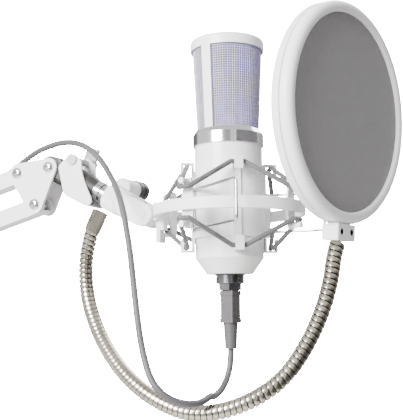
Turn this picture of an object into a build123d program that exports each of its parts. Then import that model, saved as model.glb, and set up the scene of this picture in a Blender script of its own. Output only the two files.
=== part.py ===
# Desktop microphone on a desk-clamped scissor arm, with shock mount and pop filter.
# +X runs from the clamp towards the microphone, +Z is up, millimetres.
# The origin is the middle of the clamp's seat, where the upper jaw rests on the desk top.
from math import atan, cos, degrees, radians, sin, tan
import os

from build123d import *

os.makedirs("parts", exist_ok=True)

# ---- driving dimensions -------------------------------------------------------------
arm_length = 330.0            # pivot to pivot, both arm sections
rear_angle = 102.0            # rear section above the horizontal
front_angle = 15.0            # front section above the horizontal
rail_size = 12.0              # square tube
rail_wall = 1.2
plate_gap = 16.0              # between the inner faces of a plate pair
plate_thickness = 2.0
plate_corner = 7.0            # corner radius of the plates around each bolt
bolt_radius = 2.5
bolt_head_radius = 4.25
bolt_head_height = 2.2
running_gap = 0.05            # radial clearance of every turning fit

rear_pitch = 28.0             # between the two pivots of the rear section
base_pivot_height = 75.0
front_pivots = ((21.1, 47.5), (36.6, 23.2))      # on the elbow plates, from its first rear pivot
head_reach = (27.2, 2.5)                         # upper front pivot to the head bolt

stem_angle = -27.0            # the swivel head hangs below the horizontal
stem_length = 86.2            # head bolt to mount tilt bolt
barrel_radius = 9.0
sleeve_radius = 10.0

mic_radius = 23.1
mic_wall = 2.0
body_bottom = -32.4           # heights along the microphone count from the suspension ring
body_top = 43.9
tail_height = 10.5
tail_radius = 15.6
trim_height = 10.7
trim_radius = 24.2
grille_base_radius = 21.6
grille_top_radius = 24.4
cap_height = 118.3
cap_lip = 7.8
cap_radius = 25.4
post_width = 7.0
address_angle = -14.0         # direction the capsule faces, about the microphone's axis

ring_radius = 51.7
mount_reach = ring_radius + 10.3            # mount tilt bolt to the microphone's axis
ring_wall = 3.2
ring_height = 8.0
cradle_wall = 1.2
cradle_gap = 0.2
cradle_bottom = -19.0
cradle_top = 26.0
upright_angles = (-57.0, 33.0, 123.0, 213.0)
post_angles = (-102.0, -12.0, 78.0, 168.0)
elastic_diameter = 3.2
handle_wire = 2.0

filter_radius = 72.7
filter_opening = 65.0
hoop_half = 7.5               # thickness of each half of the hoop
filter_turn = -17.04
filter_lean = -3.56
gooseneck_diameter = 10.4

cable_diameter = 4.2
coil_turns_wide = 3           # turns lie three wide and three deep
coil_radius = 24.0            # at the middle of the turns

clamp_width = 32.0
clamp_opening = 55.0
desk_thickness = 30.0
spigot_radius = 6.0
spigot_depth = 30.0

# ---- worked-out places --------------------------------------------------------------


def along(angle, distance):
    return distance * cos(radians(angle)), distance * sin(radians(angle))


def shifted(point, step):
    return point[0] + step[0], point[1] + step[1]


base_pivots = ((-rear_pitch / 2, base_pivot_height), (rear_pitch / 2, base_pivot_height))
rear_step = along(rear_angle, arm_length)
elbow_rear_pivots = tuple(shifted(pivot, rear_step) for pivot in base_pivots)
elbow_front_pivots = tuple(shifted(elbow_rear_pivots[0], pivot) for pivot in front_pivots)
front_step = along(front_angle, arm_length)
head_pivots = tuple(shifted(pivot, front_step) for pivot in elbow_front_pivots)
head_bolt = shifted(head_pivots[0], head_reach)
tilt_bolt_at = shifted(head_bolt, along(stem_angle, stem_length))
mic_x = tilt_bolt_at[0] + mount_reach
ring_z = tilt_bolt_at[1]
rail_half = rail_size / 2
plate_inner = plate_gap / 2
plate_outer = plate_inner + plate_thickness
stem_direction = Vector(cos(radians(stem_angle)), 0, sin(radians(stem_angle)))
stem_normal = Vector(-sin(radians(stem_angle)), 0, cos(radians(stem_angle)))
cradle_inner = mic_radius + cradle_gap
cradle_outer = cradle_inner + cradle_wall
ring_inner = ring_radius - ring_wall


def mic_plane(height=0.0, turn=0.0):
    x_dir = (cos(radians(turn)), sin(radians(turn)), 0)
    return Plane(origin=(mic_x, 0, ring_z + height), x_dir=x_dir, z_dir=(0, 0, 1))


def mic_section(turn=0.0):
    # half-plane through the microphone's axis: sketch x is the radius, sketch y the height
    out = (cos(radians(turn)), sin(radians(turn)), 0)
    normal = (sin(radians(turn)), -cos(radians(turn)), 0)
    return Plane(origin=(mic_x, 0, ring_z), x_dir=out, z_dir=normal)


mic_axis = Axis((mic_x, 0, 0), (0, 0, 1))


def stem_point(s, n=0.0, y=0.0):
    start = Vector(head_bolt[0], y, head_bolt[1])
    return start + stem_direction * s + stem_normal * n


def stem_cross(s):
    return Plane(origin=stem_point(s), x_dir=(0, 1, 0), z_dir=stem_direction)


stem_side = Plane(origin=stem_point(0), x_dir=stem_direction, z_dir=(0, -1, 0))
side = Plane.XZ

filter_normal = Vector(cos(radians(filter_lean)) * cos(radians(filter_turn)),
                       cos(radians(filter_lean)) * sin(radians(filter_turn)),
                       sin(radians(filter_lean)))
filter_across = Vector(-sin(radians(filter_turn)), cos(radians(filter_turn)), 0)
filter_up = filter_normal.cross(filter_across)
filter_centre = Vector(mic_x + 84.2, -0.7, ring_z + 59.5)


def filter_plane(forward=0.0):
    return Plane(origin=filter_centre + filter_normal * forward,
                 x_dir=filter_across, z_dir=filter_normal)


def corner_radii(points):
    # each arc is as large as its two runs allow
    vectors = [Vector(*point) for point in points]
    radii = []
    for before, corner, after in zip(vectors, vectors[1:], vectors[2:]):
        arriving = corner - before
        leaving = after - corner
        half_turn = radians(arriving.get_angle(leaving)) / 2
        radii.append(0.45 * min(arriving.length, leaving.length) / tan(half_turn))
    return radii


def tube_report(name, solid, path_length, diameter, points):
    section = 3.141593 * diameter * diameter / 4
    radii = ", ".join(f"{radius:.0f}" for radius in corner_radii(points))
    ratio = solid.volume / (section * path_length)
    print(f"{name}: length {path_length:.1f} mm, volume ratio {ratio:.4f}, radii {radii}")


def near_mic(points):
    return [(mic_x + x, y, ring_z + z) for x, y, z in points]


def sweep_plane(points):
    start, following = Vector(*points[0]), Vector(*points[1])
    return Plane(origin=start, z_dir=following - start)


# ---- microphone ---------------------------------------------------------------------
grille_bottom = body_top + trim_height
lip_height = cap_height - cap_lip
grille_wall = 1.0
post_wall = 1.0


with BuildPart() as body_tube:
    with BuildSketch(mic_plane(body_bottom)):
        Circle(mic_radius)
        Circle(mic_radius - mic_wall, mode=Mode.SUBTRACT)
    extrude(amount=body_top - body_bottom)

ferrule_radius = 10.25
tail_bottom = body_bottom - tail_height
with BuildPart() as tail_cone:
    with BuildSketch(mic_section()):
        with BuildLine():
            Polyline((mic_radius, body_bottom), (tail_radius, tail_bottom),
                     (tail_radius - 1.6, tail_bottom), (tail_radius - 2.2, tail_bottom + 1.8),
                     (ferrule_radius, tail_bottom + 1.8), (ferrule_radius, tail_bottom + 3.8),
                     (tail_radius - 2.0, tail_bottom + 3.8), (mic_radius - mic_wall, body_bottom),
                     close=True)
        make_face()
    revolve(axis=mic_axis)

with BuildPart() as trim_ring:
    with BuildSketch(mic_section()):
        with BuildLine():
            Polyline((mic_radius - mic_wall, body_top), (trim_radius, body_top),
                     (trim_radius, grille_bottom - 3.2), (grille_base_radius + 0.6, grille_bottom),
                     (mic_radius - mic_wall, grille_bottom), close=True)
        make_face()
    revolve(axis=mic_axis)

with BuildPart() as grille_mesh:
    with BuildSketch(mic_section()):
        with BuildLine():
            Polyline((grille_base_radius - grille_wall, grille_bottom),
                     (grille_base_radius, grille_bottom), (grille_top_radius, lip_height + 3),
                     (grille_top_radius - grille_wall, lip_height + 3), close=True)
        make_face()
    revolve(axis=mic_axis)

frame_gap = 0.1
with BuildPart() as grille_frame:
    with BuildSketch(mic_section()):
        with BuildLine():
            Polyline((0, cap_height), (cap_radius, cap_height), (cap_radius, lip_height),
                     (grille_top_radius + frame_gap, lip_height),
                     (grille_top_radius + frame_gap, lip_height + 3.2), (0, lip_height + 3.2),
                     close=True)
        make_face()
    revolve(axis=mic_axis)
    rim = grille_frame.edges().filter_by(GeomType.CIRCLE).group_by(Axis.Z)[-1]
    fillet(rim, 2.4)
    post_arc = 2 * degrees(atan(post_width / 2 / grille_top_radius))
    for post_turn in (address_angle - 90, address_angle + 90):
        with BuildSketch(mic_section(post_turn - post_arc / 2)):
            with BuildLine():
                Polyline((grille_base_radius + frame_gap, grille_bottom),
                         (grille_base_radius + post_wall, grille_bottom),
                         (grille_top_radius + post_wall, lip_height + 1),
                         (grille_top_radius + frame_gap, lip_height + 1), close=True)
            make_face()
        revolve(axis=mic_axis, revolution_arc=post_arc)

# balanced three-part connector end: threaded ferrule, hex nut and the socket inside
ferrule_length = 7.4
ferrule_bottom = tail_bottom + 1.0 - ferrule_length
thread_pitch = ferrule_length / 4
with BuildPart() as thread_ferrule:
    with BuildSketch(mic_section()):
        with BuildLine():
            ridge_points = [(8.2, tail_bottom + 6), (12.5, tail_bottom + 6), (12.5, tail_bottom + 3.9),
                            (ferrule_radius - 0.1, tail_bottom + 3.9)]
            for ridge in range(4):
                top = tail_bottom + 1.0 - ridge * thread_pitch
                ridge_points.append((ferrule_radius - 0.9, top))
                ridge_points.append((ferrule_radius, top - thread_pitch / 2))
            ridge_points += [(ferrule_radius - 0.9, ferrule_bottom), (8.2, ferrule_bottom)]
            Polyline(*ridge_points, close=True)
        make_face()
    revolve(axis=mic_axis)

nut_height = 4.3
with BuildPart() as lock_nut:
    with BuildSketch(mic_plane(ferrule_bottom - nut_height, address_angle)):
        RegularPolygon(7.2, 6, major_radius=False)
        Rectangle(9.4, 8.8, mode=Mode.SUBTRACT)
    extrude(amount=nut_height)

socket_height = 16.0
with BuildPart() as usb_socket:
    with BuildSketch(mic_plane(ferrule_bottom, address_angle)):
        Rectangle(11.4, 11.0)
        Rectangle(9.0, 8.4, mode=Mode.SUBTRACT)
    extrude(amount=socket_height)
    with BuildSketch(mic_plane(ferrule_bottom + socket_height - 1, address_angle)):
        Rectangle(11.4, 11.0)
    extrude(amount=1)

board_top = body_top - 4
with BuildPart() as circuit_board:
    with BuildSketch(mic_plane(tail_bottom + 14, address_angle)):
        Rectangle(1.6, 2 * (mic_radius - mic_wall) - 8)
    extrude(amount=board_top - tail_bottom - 14)
    for height, width in ((-16, 9), (2, 7), (18, 12)):
        with BuildSketch(mic_plane(height, address_angle)):
            with Locations((1.8, 0)):
                Rectangle(2.4, width)
        extrude(amount=width)

with BuildPart() as light_ring:
    with BuildSketch(mic_plane(grille_bottom - 1)):
        Circle(grille_base_radius - grille_wall - 0.6)
        Circle(7.5, mode=Mode.SUBTRACT)
    extrude(amount=1.6)
    with BuildSketch(mic_plane(grille_bottom + 0.6)):
        with PolarLocations(14, 8):
            Rectangle(4, 4)
    extrude(amount=1.4)

capsule_radius = 13.0
capsule_height = grille_bottom + 30
capsule_depth = 11.0
capsule_plane = Plane(origin=(mic_x, 0, ring_z + capsule_height),
                      z_dir=(cos(radians(address_angle)), sin(radians(address_angle)), 0))
with BuildPart() as capsule_body:
    with BuildSketch(capsule_plane):
        Circle(capsule_radius)
    extrude(amount=capsule_depth / 2, both=True)
    chamfer(capsule_body.edges().filter_by(GeomType.CIRCLE), 1.0)

with BuildPart() as capsule_diaphragms:
    for offset_sign in (1, -1):
        with BuildSketch(capsule_plane.offset(offset_sign * (capsule_depth / 2 + 0.4))):
            Circle(capsule_radius - 1.6)
        extrude(amount=0.3, both=True)

with BuildPart() as capsule_saddle:
    with BuildSketch(mic_plane(grille_bottom - 3, address_angle)):
        Circle(7.0)
    extrude(amount=capsule_height - capsule_radius - grille_bottom + 2.6)
    with BuildSketch(mic_plane(grille_bottom - 3, address_angle)):
        Circle(mic_radius - mic_wall - 0.4)
        with PolarLocations(16, 4):
            Circle(2.5, mode=Mode.SUBTRACT)
    extrude(amount=1.6)

# ---- plug under the microphone ------------------------------------------------------
plug_top = ferrule_bottom - nut_height - 0.3
plug_flange = 10.9
plug_width = 10.1
plug_bottom = plug_top - 21.5
relief_length = 17.0
relief_tip = plug_bottom - relief_length
with BuildPart() as usb_plug:
    for top, bottom, width in ((0, 3.2, plug_flange), (3.2, 18.4, plug_width), (18.4, 21.5, plug_flange)):
        with BuildSketch(mic_plane(plug_top - bottom, address_angle)):
            RectangleRounded(width, width, 1.0)
        extrude(amount=bottom - top)
    with BuildSketch(mic_plane(plug_top, address_angle)):
        Rectangle(8.4, 7.8)
    extrude(amount=11)
    with BuildSketch(mic_section()):
        with BuildLine():
            Polyline((0, plug_bottom + 1), (4.9, plug_bottom + 1), (4.9, plug_bottom),
                     (3.8, relief_tip), (0, relief_tip), close=True)
        make_face()
    revolve(axis=mic_axis)

# ---- shock mount --------------------------------------------------------------------
with BuildPart() as suspension_ring:
    with BuildSketch(mic_plane(-ring_height / 2)):
        Circle(ring_radius)
        Circle(ring_inner, mode=Mode.SUBTRACT)
    extrude(amount=ring_height)
    fillet(suspension_ring.edges().filter_by(GeomType.CIRCLE), 0.8)

post_top = 17.0
post_bottom = -15.5
knob_heights = (14.5, -13.0)
knob_radius = 2.0
with BuildPart() as ring_posts:
    for turn in post_angles:
        out = Vector(cos(radians(turn)), sin(radians(turn)), 0)
        fin = Plane(origin=Vector(mic_x, 0, ring_z) + out * (ring_inner - 0.3),
                    x_dir=(-out.Y, out.X, 0), z_dir=out)
        with BuildSketch(fin):
            with BuildLine():
                Polyline((-4.6, -4.5), (-4.6, 4.5), (-2.4, post_top), (2.4, post_top), (4.6, 4.5),
                         (4.6, -4.5), (2.4, post_bottom), (-2.4, post_bottom), close=True)
            make_face()
        extrude(amount=-1.6)
        with BuildSketch(fin):
            with Locations(*[(0, height) for height in knob_heights]):
                Circle(knob_radius)
        extrude(amount=ring_wall + 4.0)

hook_inner = cradle_outer - 0.3
hook_outer = 33.0
upright_wall = 1.3
upright_top = 32.3
upright_bottom = -28.5
upright_width = 5.5
with BuildPart() as cradle:
    with BuildSketch(mic_plane(cradle_bottom)):
        Circle(cradle_outer)
        Circle(cradle_inner, mode=Mode.SUBTRACT)
    extrude(amount=cradle_top - cradle_bottom)
    for turn in upright_angles:
        with BuildSketch(mic_section(turn)):
            with BuildLine():
                Polyline((hook_inner, upright_bottom), (hook_outer, upright_bottom),
                         (hook_outer, upright_bottom + 9), (hook_outer - upright_wall, upright_bottom + 9),
                         (hook_outer - upright_wall, upright_bottom + upright_wall),
                         (hook_inner + upright_wall, upright_bottom + upright_wall),
                         (hook_inner + upright_wall, upright_top - upright_wall),
                         (hook_outer - upright_wall, upright_top - upright_wall),
                         (hook_outer - upright_wall, upright_top - 8), (hook_outer, upright_top - 8),
                         (hook_outer, upright_top), (hook_inner, upright_top), close=True)
            make_face()
        extrude(amount=upright_width / 2, both=True)


def elastic_route(hook_z, knob_z):
    # a closed loop round four cradle hooks and four ring knobs, as straight stretches
    stations = sorted([(turn, 29.4, 4.6, hook_z) for turn in upright_angles]
                      + [(turn, 52.3, 3.9, knob_z) for turn in post_angles])
    route = []
    for turn, radius, half, height in stations:
        for step in (-half, half):
            x = radius * cos(radians(turn)) - step * sin(radians(turn))
            y = radius * sin(radians(turn)) + step * cos(radians(turn))
            route.append((x, y, height))
    return near_mic(route)


elastic_loops = (elastic_route(upright_top - upright_wall - 1.8, knob_heights[0] - knob_radius - 1.8),
                 elastic_route(upright_bottom + upright_wall + 1.8, knob_heights[1] + knob_radius + 1.8))


def elastic_band(route):
    with BuildPart() as band:
        for start, end in zip(route, route[1:] + route[:1]):
            direction = Vector(*end) - Vector(*start)
            with BuildSketch(Plane(origin=start, z_dir=direction)):
                Circle(elastic_diameter / 2)
            extrude(amount=direction.length)
            with Locations(start):
                Sphere(elastic_diameter / 2)
    return band


upper_elastic = elastic_band(elastic_loops[0])
lower_elastic = elastic_band(elastic_loops[1])

# squeeze handles: wire loops that leave the cradle's sleeve on a tangent
handle_spread = 47.0
handle_middle = -18.0
handle_reach = 66.0
handle_half = 13.0
root_spread = 117.0
root_radius = cradle_outer + 2.0


def handle_point(spread, radius, height):
    turn = radians(handle_middle + spread)
    return mic_x + radius * cos(turn), radius * sin(turn), ring_z + height


with BuildPart() as front_handle:
    with BuildLine():
        path = FilletPolyline(handle_point(-root_spread, root_radius, handle_half),
                              handle_point(-handle_spread, handle_reach, handle_half),
                              handle_point(-handle_spread, handle_reach, -handle_half),
                              handle_point(-root_spread, root_radius, -handle_half), radius=3.0)
    with BuildSketch(Plane(origin=path @ 0, z_dir=path % 0)):
        Circle(handle_wire / 2)
    sweep()
    with BuildSketch(Plane(origin=handle_point(-root_spread, root_radius + 0.1, -handle_half - 1))):
        Circle(1.9)
    extrude(amount=2 * handle_half + 2)

handle_mirror = Plane(origin=(mic_x, 0, ring_z),
                      z_dir=(sin(radians(handle_middle)), -cos(radians(handle_middle)), 0))
with BuildPart() as side_handle:
    mirror(front_handle.part, about=handle_mirror)

# bracket on the ring, tilting in the fork
ear_radius = 8.2
ear_gap = 13.0
fork_width = 22.0
bracket_out = mount_reach - ear_radius - 0.6
bracket_lip = 4.5             # the lips over and under the ring reach this far inside its outer face
with BuildPart() as ring_bracket:
    with BuildSketch(mic_plane(-ring_height / 2)):
        with Locations((-bracket_out + 6, 0)):
            Rectangle(12, 17)
        Circle(ring_radius + 0.02, mode=Mode.SUBTRACT)
    extrude(amount=ring_height + 4.4)
    lip_width = bracket_lip + bracket_out - ring_radius
    for bottom, thickness in ((ring_height / 2 + 0.02, 4.4), (-ring_height / 2 - 7.0, 6.98)):
        with BuildSketch(mic_plane(bottom)):
            with Locations((-bracket_out + lip_width / 2, 0)):
                Rectangle(lip_width, 9.2)
        extrude(amount=thickness)
    with BuildSketch(mic_plane(-19.5)):
        with Locations((-bracket_out + 1.6, 0)):
            Rectangle(3.2, 9.2)
    extrude(amount=9)
    # notch that lets the lower elastic past
    with BuildSketch(mic_plane(-13.4)):
        with Locations((-bracket_out + 6.3, 5.2)):
            Rectangle(9.6, 6.4)
    extrude(amount=6, mode=Mode.SUBTRACT)
    with BuildSketch(Plane(origin=(tilt_bolt_at[0], 0, ring_z), x_dir=(1, 0, 0), z_dir=(0, -1, 0))):
        Circle(ear_radius - 1.2)
        with Locations(((mount_reach - bracket_out) / 2, 0)):
            Rectangle(mount_reach - bracket_out + 1, 9)
        Circle(bolt_radius + running_gap + 0.5, mode=Mode.SUBTRACT)
    extrude(amount=ear_gap / 2 - 0.5, both=True)

sleeve_start = 51.0
sleeve_end = 63.0
with BuildPart() as tilt_fork:
    with BuildSketch(stem_cross(sleeve_end)):
        Circle(sleeve_radius)
    with BuildSketch(stem_cross(sleeve_end + 9)):
        RectangleRounded(fork_width, 2 * ear_radius + 1.6, 4)
    loft()
    with BuildSketch(stem_side):
        with Locations((stem_length, 0)):
            Circle(ear_radius)
        with Locations(((sleeve_end + 9 + stem_length) / 2, 0)):
            Rectangle(stem_length - sleeve_end - 9, 2 * ear_radius)
    extrude(amount=fork_width / 2, both=True)
    with BuildSketch(stem_side):
        with Locations((stem_length, 0)):
            Circle(ear_radius + 3.5)
        with Locations((stem_length + 9, 0)):
            Rectangle(18, 2 * ear_radius + 7)
    extrude(amount=ear_gap / 2, both=True, mode=Mode.SUBTRACT)
    with BuildSketch(stem_side):
        with Locations((stem_length, 0)):
            Circle(bolt_radius + running_gap)
    extrude(amount=fork_width, both=True, mode=Mode.SUBTRACT)
    knob_at = (stem_length - 24.4 - 4, 10.5)
    with BuildSketch(stem_side):
        with Locations(knob_at):
            Circle(6.5)
    extrude(amount=-18)
    with BuildSketch(stem_cross(sleeve_start - 6)):
        Circle(sleeve_radius + 0.4)
    extrude(amount=sleeve_end - sleeve_start + 6, mode=Mode.SUBTRACT)

with BuildPart() as tilt_bolt:
    with BuildSketch(stem_side):
        with Locations((stem_length, 0)):
            Circle(bolt_radius)
    extrude(amount=fork_width / 2, both=True)
    with BuildSketch(stem_side.offset(fork_width / 2)):
        with Locations((stem_length, 0)):
            Circle(3.3)
    extrude(amount=0.6)
    with BuildSketch(stem_side.offset(-fork_width / 2)):
        with Locations((stem_length, 0)):
            RegularPolygon(4, 6, major_radius=False)
    extrude(amount=-2.4)

knob_start = 18.2
with BuildPart() as swivel_knob:
    for start, length, radius in ((0, 4, 7.3), (4, 3, 6.9), (7, 5, 7.3)):
        with BuildSketch(stem_side.offset(-knob_start - start)):
            with Locations(knob_at):
                Circle(radius)
        extrude(amount=-length)

with BuildPart() as thread_sleeve:
    with BuildSketch(stem_cross(sleeve_start)):
        Circle(sleeve_radius)
        Circle(5.6, mode=Mode.SUBTRACT)
    extrude(amount=sleeve_end - sleeve_start - 0.1)

with BuildPart() as thread_stud:
    with BuildSketch(stem_cross(36)):
        Circle(5.5)
    extrude(amount=sleeve_end - 36 - 0.2)

with BuildPart() as stud_nut:
    with BuildSketch(stem_cross(41)):
        Circle(7.4)
        Circle(5.55, mode=Mode.SUBTRACT)
    extrude(amount=4.6)
    with BuildSketch(stem_cross(46.2)):
        Circle(6.6)
        Circle(5.55, mode=Mode.SUBTRACT)
    extrude(amount=3.6)

tail_length = 16.0            # the barrel is flat this far past the head bolt
with BuildPart() as swivel_barrel:
    with BuildSketch(stem_cross(0)):
        Circle(barrel_radius)
    extrude(amount=34)
    with BuildSketch(stem_side):
        Circle(barrel_radius)
    extrude(amount=plate_inner - 0.3, both=True)
    with BuildSketch(stem_cross(34)):
        Circle(barrel_radius)
    with BuildSketch(stem_cross(40.8)):
        Circle(7.0)
    loft()
    for flat_sign in (1, -1):
        with BuildSketch(stem_side.offset(flat_sign * (plate_inner - 0.3))):
            with Locations((tail_length / 2 - 6, 0)):
                Rectangle(tail_length + 12, 24)
        extrude(amount=flat_sign * 6, mode=Mode.SUBTRACT)
    with BuildSketch(stem_side):
        Circle(bolt_radius + running_gap)
    extrude(amount=plate_gap, both=True, mode=Mode.SUBTRACT)
    with BuildSketch(stem_cross(34)):
        Circle(5.55)
    extrude(amount=8, mode=Mode.SUBTRACT)

# ---- pop filter ---------------------------------------------------------------------
clamp_inner = barrel_radius + 0.3
clamp_sheet = 1.5
clamp_web = -11.2
web_end = 55.2
ferrule_s = 50.0
clamp_bolt_at = (17.0, 13.2)
with BuildPart() as pop_clamp:
    with BuildSketch(stem_side) as ear_profile:
        with BuildLine():
            Polyline((8.4, 4.0), (11.5, 12.5), (17.0, 17.4), (24.5, 15.0), (28.5, 8.0), (33.0, 3.5),
                     (web_end - 2.5, clamp_web - clamp_sheet), (22.8, clamp_web - clamp_sheet),
                     close=True)
        make_face()
        fillet(ear_profile.vertices().group_by(Axis.Z)[-1], 4)
    extrude(amount=clamp_inner + clamp_sheet, both=True)
    with BuildSketch(stem_side):
        with Locations((20, 20)):
            Rectangle(120, 2 * (20 - clamp_web))
    extrude(amount=clamp_inner, both=True, mode=Mode.SUBTRACT)
    with BuildSketch(stem_side):
        with Locations(clamp_bolt_at):
            Circle(bolt_radius + running_gap)
    extrude(amount=20, both=True, mode=Mode.SUBTRACT)

with BuildPart() as pop_clamp_screw:
    with BuildSketch(stem_side):
        with Locations(clamp_bolt_at):
            Circle(bolt_radius)
    extrude(amount=clamp_inner + clamp_sheet + 0.4, both=True)
    with BuildSketch(stem_side.offset(clamp_inner + clamp_sheet)):
        with Locations(clamp_bolt_at):
            Circle(4.0)
    extrude(amount=1.6)
    wing_start = clamp_inner + clamp_sheet + 0.1
    with BuildSketch(stem_side.offset(-wing_start)):
        with Locations(clamp_bolt_at):
            Circle(4.6)
    extrude(amount=-7)
    with BuildSketch(stem_side.offset(-wing_start - 2)):
        with Locations((clamp_bolt_at[0] - 1.5, clamp_bolt_at[1] + 6)):
            Rectangle(10, 13, rotation=8)
    extrude(amount=-3.2)

neck_drop = 15.4
with BuildPart() as neck_ferrule:
    ferrule_top = stem_point(ferrule_s, clamp_web - clamp_sheet)
    with BuildSketch(Plane(origin=ferrule_top, x_dir=(0, 1, 0), z_dir=-stem_normal)):
        RegularPolygon(5.0, 6, major_radius=False)
    extrude(amount=neck_drop)

foot_height = 10.6
foot_bottom = -filter_radius - foot_height
foot_centre = filter_centre + filter_up * foot_bottom - filter_normal * 4.5 - filter_across
neck_start = stem_point(ferrule_s, clamp_web - clamp_sheet - neck_drop)
neck_middle = near_mic([(-107.9, 0.1, -11.3), (-113.2, 0.9, -31.3), (-109.7, -1.7, -57.5),
                        (-95.4, -11.2, -80.8), (-76.1, -23.7, -99.7), (-55.1, -33.8, -114.6),
                        (-33.3, -39, -125.5), (-12, -40.4, -131.6), (8.9, -38.6, -129.5),
                        (28.8, -34.1, -121.8), (45.6, -27.7, -109.4), (57.7, -20.1, -90.5),
                        (66.3, -12.5, -69.5), (71.1, -6.2, -48.8), (72.2, -1.9, -32.4)])
neck_points = [tuple(neck_start)] + neck_middle + [tuple(foot_centre)]
with BuildPart() as gooseneck:
    with BuildLine() as neck_line:
        FilletPolyline(*neck_points, radius=corner_radii(neck_points))
    with BuildSketch(sweep_plane(neck_points)):
        Circle(gooseneck_diameter / 2)
    sweep()
tube_report("gooseneck", gooseneck.part, neck_line.wire().length, gooseneck_diameter, neck_points)

hoop_front_face = 3.0
seam = hoop_front_face - hoop_half


def hoop(side_sign):
    profile = Plane(origin=filter_centre + filter_normal * seam, x_dir=filter_up,
                    z_dir=filter_up.cross(filter_normal))
    with BuildPart() as half:
        with BuildSketch(profile):
            with BuildLine():
                Polyline((filter_radius, side_sign * 0.05), (filter_radius, side_sign * (hoop_half - 4)),
                         (filter_radius - 2.4, side_sign * (hoop_half - 0.8)),
                         (filter_radius - 4.4, side_sign * hoop_half),
                         (filter_opening + 0.9, side_sign * hoop_half),
                         (filter_opening, side_sign * (hoop_half - 2.6)),
                         (filter_opening, side_sign * (hoop_half - 3.0)),
                         (filter_opening + 2.5, side_sign * (hoop_half - 3.0)),
                         (filter_opening + 2.5, side_sign * (hoop_half - 3.7)),
                         (filter_opening, side_sign * (hoop_half - 3.7)),
                         (filter_opening, side_sign * 0.05), close=True)
            make_face()
        revolve(axis=Axis(filter_centre, filter_normal))
        foot_cut = Plane(origin=foot_centre, x_dir=filter_across, z_dir=filter_up)
        with BuildSketch(foot_cut.offset(foot_height)):
            Rectangle(15, 9)
        extrude(amount=2.4, mode=Mode.SUBTRACT)
    return half


filter_hoop_front = hoop(1)
filter_hoop_back = hoop(-1)

foot_width = 22.0
foot_depth = 12.5
with BuildPart() as filter_foot:
    foot_plane = Plane(origin=foot_centre, x_dir=filter_across, z_dir=filter_up)
    with BuildSketch(foot_plane):
        RectangleRounded(foot_width, foot_depth, 1.2)
    extrude(amount=foot_height - 0.1)
    with BuildSketch(Plane(origin=filter_centre, z_dir=filter_normal)):
        Circle(filter_radius + 0.05)
    extrude(amount=30, both=True, mode=Mode.SUBTRACT)
    with BuildSketch(foot_plane.offset(foot_height - 3)):
        Rectangle(14.6, 8.6)
    extrude(amount=4.6)
    screw_face = Plane(origin=foot_centre + filter_up * 5.6 + filter_normal * foot_depth / 2,
                       x_dir=filter_across, z_dir=filter_normal)
    with Locations(*[screw_face.location * Location((x, 0, 0)) for x in (-6, 6)]):
        Hole(2.2, depth=6)

with BuildPart() as foot_screws:
    with BuildSketch(screw_face.offset(-5.5)):
        with Locations((-6, 0), (6, 0)):
            Circle(2.15)
    extrude(amount=5.2)
    with BuildSketch(screw_face.offset(-0.3)):
        with Locations((-6, 0), (6, 0)):
            RegularPolygon(1.25, 6, major_radius=False)
    extrude(amount=-2, mode=Mode.SUBTRACT)

with BuildPart() as filter_fabric:
    for layer in (1, -1):
        with BuildSketch(filter_plane(seam + layer * (hoop_half - 3.35))):
            Circle(filter_opening + 2.3)
        extrude(amount=0.3, both=True)

# ---- scissor arm --------------------------------------------------------------------


def rail(pivot, angle):
    step = along(angle, arm_length)
    middle = shifted(pivot, along(angle, arm_length / 2))
    with BuildPart() as tube:
        with BuildSketch(side):
            with Locations(Location((middle[0], middle[1], 0), (0, 0, angle))):
                SlotCenterToCenter(arm_length, rail_size)
        extrude(amount=rail_half, both=True)
        with BuildSketch(side):
            with Locations(Location((middle[0], middle[1], 0), (0, 0, angle))):
                Rectangle(arm_length + 2 * rail_size, rail_size - 2 * rail_wall)
        extrude(amount=rail_half - rail_wall, both=True, mode=Mode.SUBTRACT)
        with BuildSketch(side):
            with Locations(pivot, shifted(pivot, step)):
                Circle(bolt_radius + running_gap)
        extrude(amount=rail_size, both=True, mode=Mode.SUBTRACT)
    return tube


front_upper_rail = rail(elbow_front_pivots[0], front_angle)
front_lower_rail = rail(elbow_front_pivots[1], front_angle)
rear_upper_rail = rail(base_pivots[0], rear_angle)
rear_lower_rail = rail(base_pivots[1], rear_angle)

spring_radius = 3.6


def rail_spring(pivot, angle):
    start = shifted(pivot, along(angle, 24))
    with BuildPart() as spring:
        with BuildSketch(Plane(origin=(start[0], 0, start[1]), x_dir=(0, 1, 0),
                               z_dir=(cos(radians(angle)), 0, sin(radians(angle))))):
            Circle(spring_radius)
            Circle(spring_radius - 1.0, mode=Mode.SUBTRACT)
        extrude(amount=arm_length * 0.42)
    return spring


front_spring = rail_spring(elbow_front_pivots[0], front_angle)
rear_spring = rail_spring(base_pivots[0], rear_angle)


def plate_pair(pivots):
    with BuildPart() as plates:
        with BuildSketch(side):
            with Locations(*pivots):
                Circle(plate_corner)
            make_hull()
            with Locations(*pivots):
                Circle(bolt_radius + 0.02, mode=Mode.SUBTRACT)
        extrude(amount=plate_outer, both=True)
        with BuildSketch(side):
            with Locations(pivots[0]):
                Rectangle(400, 400)
        extrude(amount=plate_inner, both=True, mode=Mode.SUBTRACT)
    return plates


def pivot_bolts(pivots, collar_reach):
    # bolt, chrome heads and the two washers that keep a rail centred between the plates
    with BuildPart() as bolts:
        with BuildSketch(side):
            with Locations(*pivots):
                Circle(bolt_radius)
        extrude(amount=plate_outer + 0.3, both=True)
        for outward in (1, -1):
            with BuildSketch(side.offset(outward * (plate_outer + 0.02))):
                with Locations(*pivots):
                    Circle(bolt_head_radius)
            extrude(amount=outward * bolt_head_height)
            for pivot, reach in zip(pivots, collar_reach):
                with BuildSketch(side.offset(outward * reach)):
                    with Locations(pivot):
                        Circle(bolt_radius + 2.2)
                extrude(amount=outward * (plate_inner - 0.02 - reach))
    return bolts


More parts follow.
